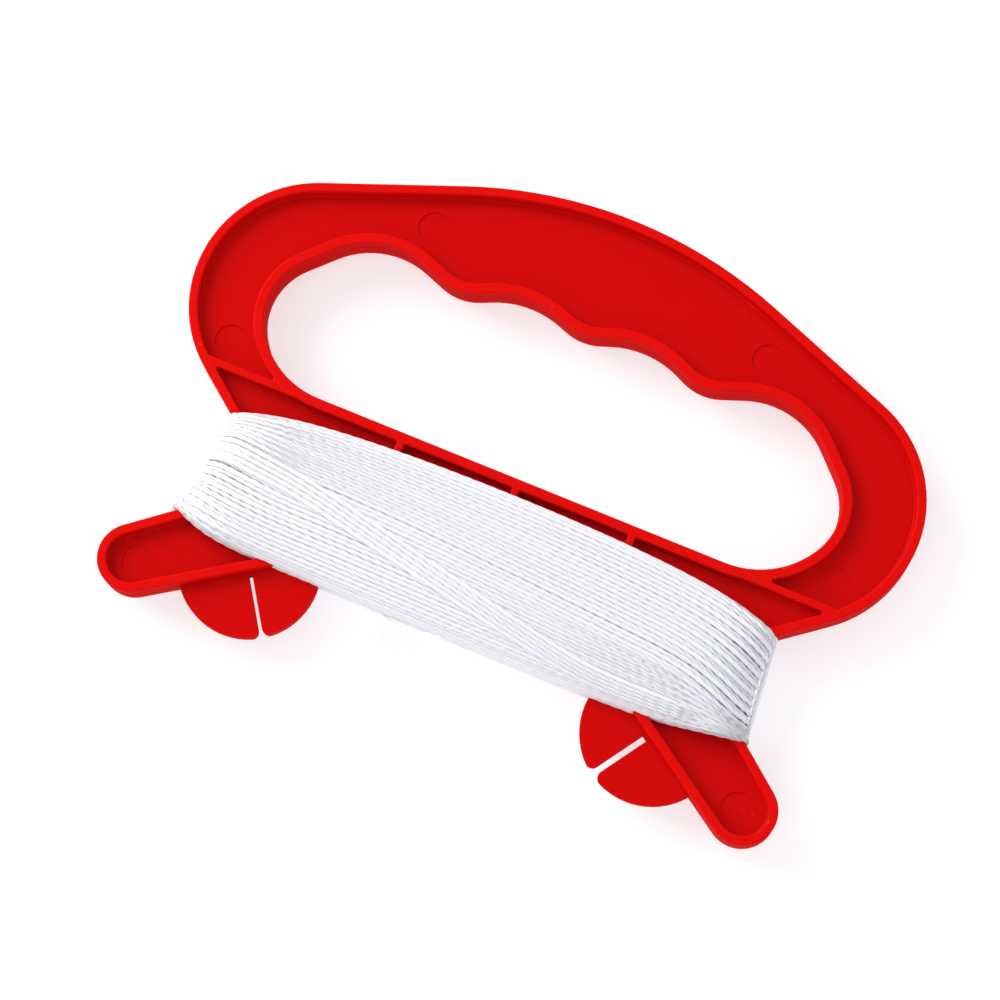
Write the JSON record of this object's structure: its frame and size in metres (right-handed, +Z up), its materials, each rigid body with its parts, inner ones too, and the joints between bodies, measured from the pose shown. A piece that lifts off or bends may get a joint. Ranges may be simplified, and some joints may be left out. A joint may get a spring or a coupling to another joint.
{
  "type": "hand line winder",
  "caption": "Flat moulded hand winder with finger grooves, end notches and slotted clip lobes, holding a pack of white twisted line.",
  "frame": {"origin": "on the surface that the winder lies on, under the middle of its bounding box", "axes": "+X along the bar from one notch to the other, +Y from the horns to the hand grip, +Z up out of the flat side"},
  "size_m": [0.1392, 0.0978, 0.015],
  "materials": {
    "red_plastic": "moulded, half gloss",
    "white_line": "twisted polyester"
  },
  "bodies": {
    "root": {"winder_frame": "red_plastic", "wound_line": "white_line", "line_tail": "white_line"}
  },
  "joints": []
}
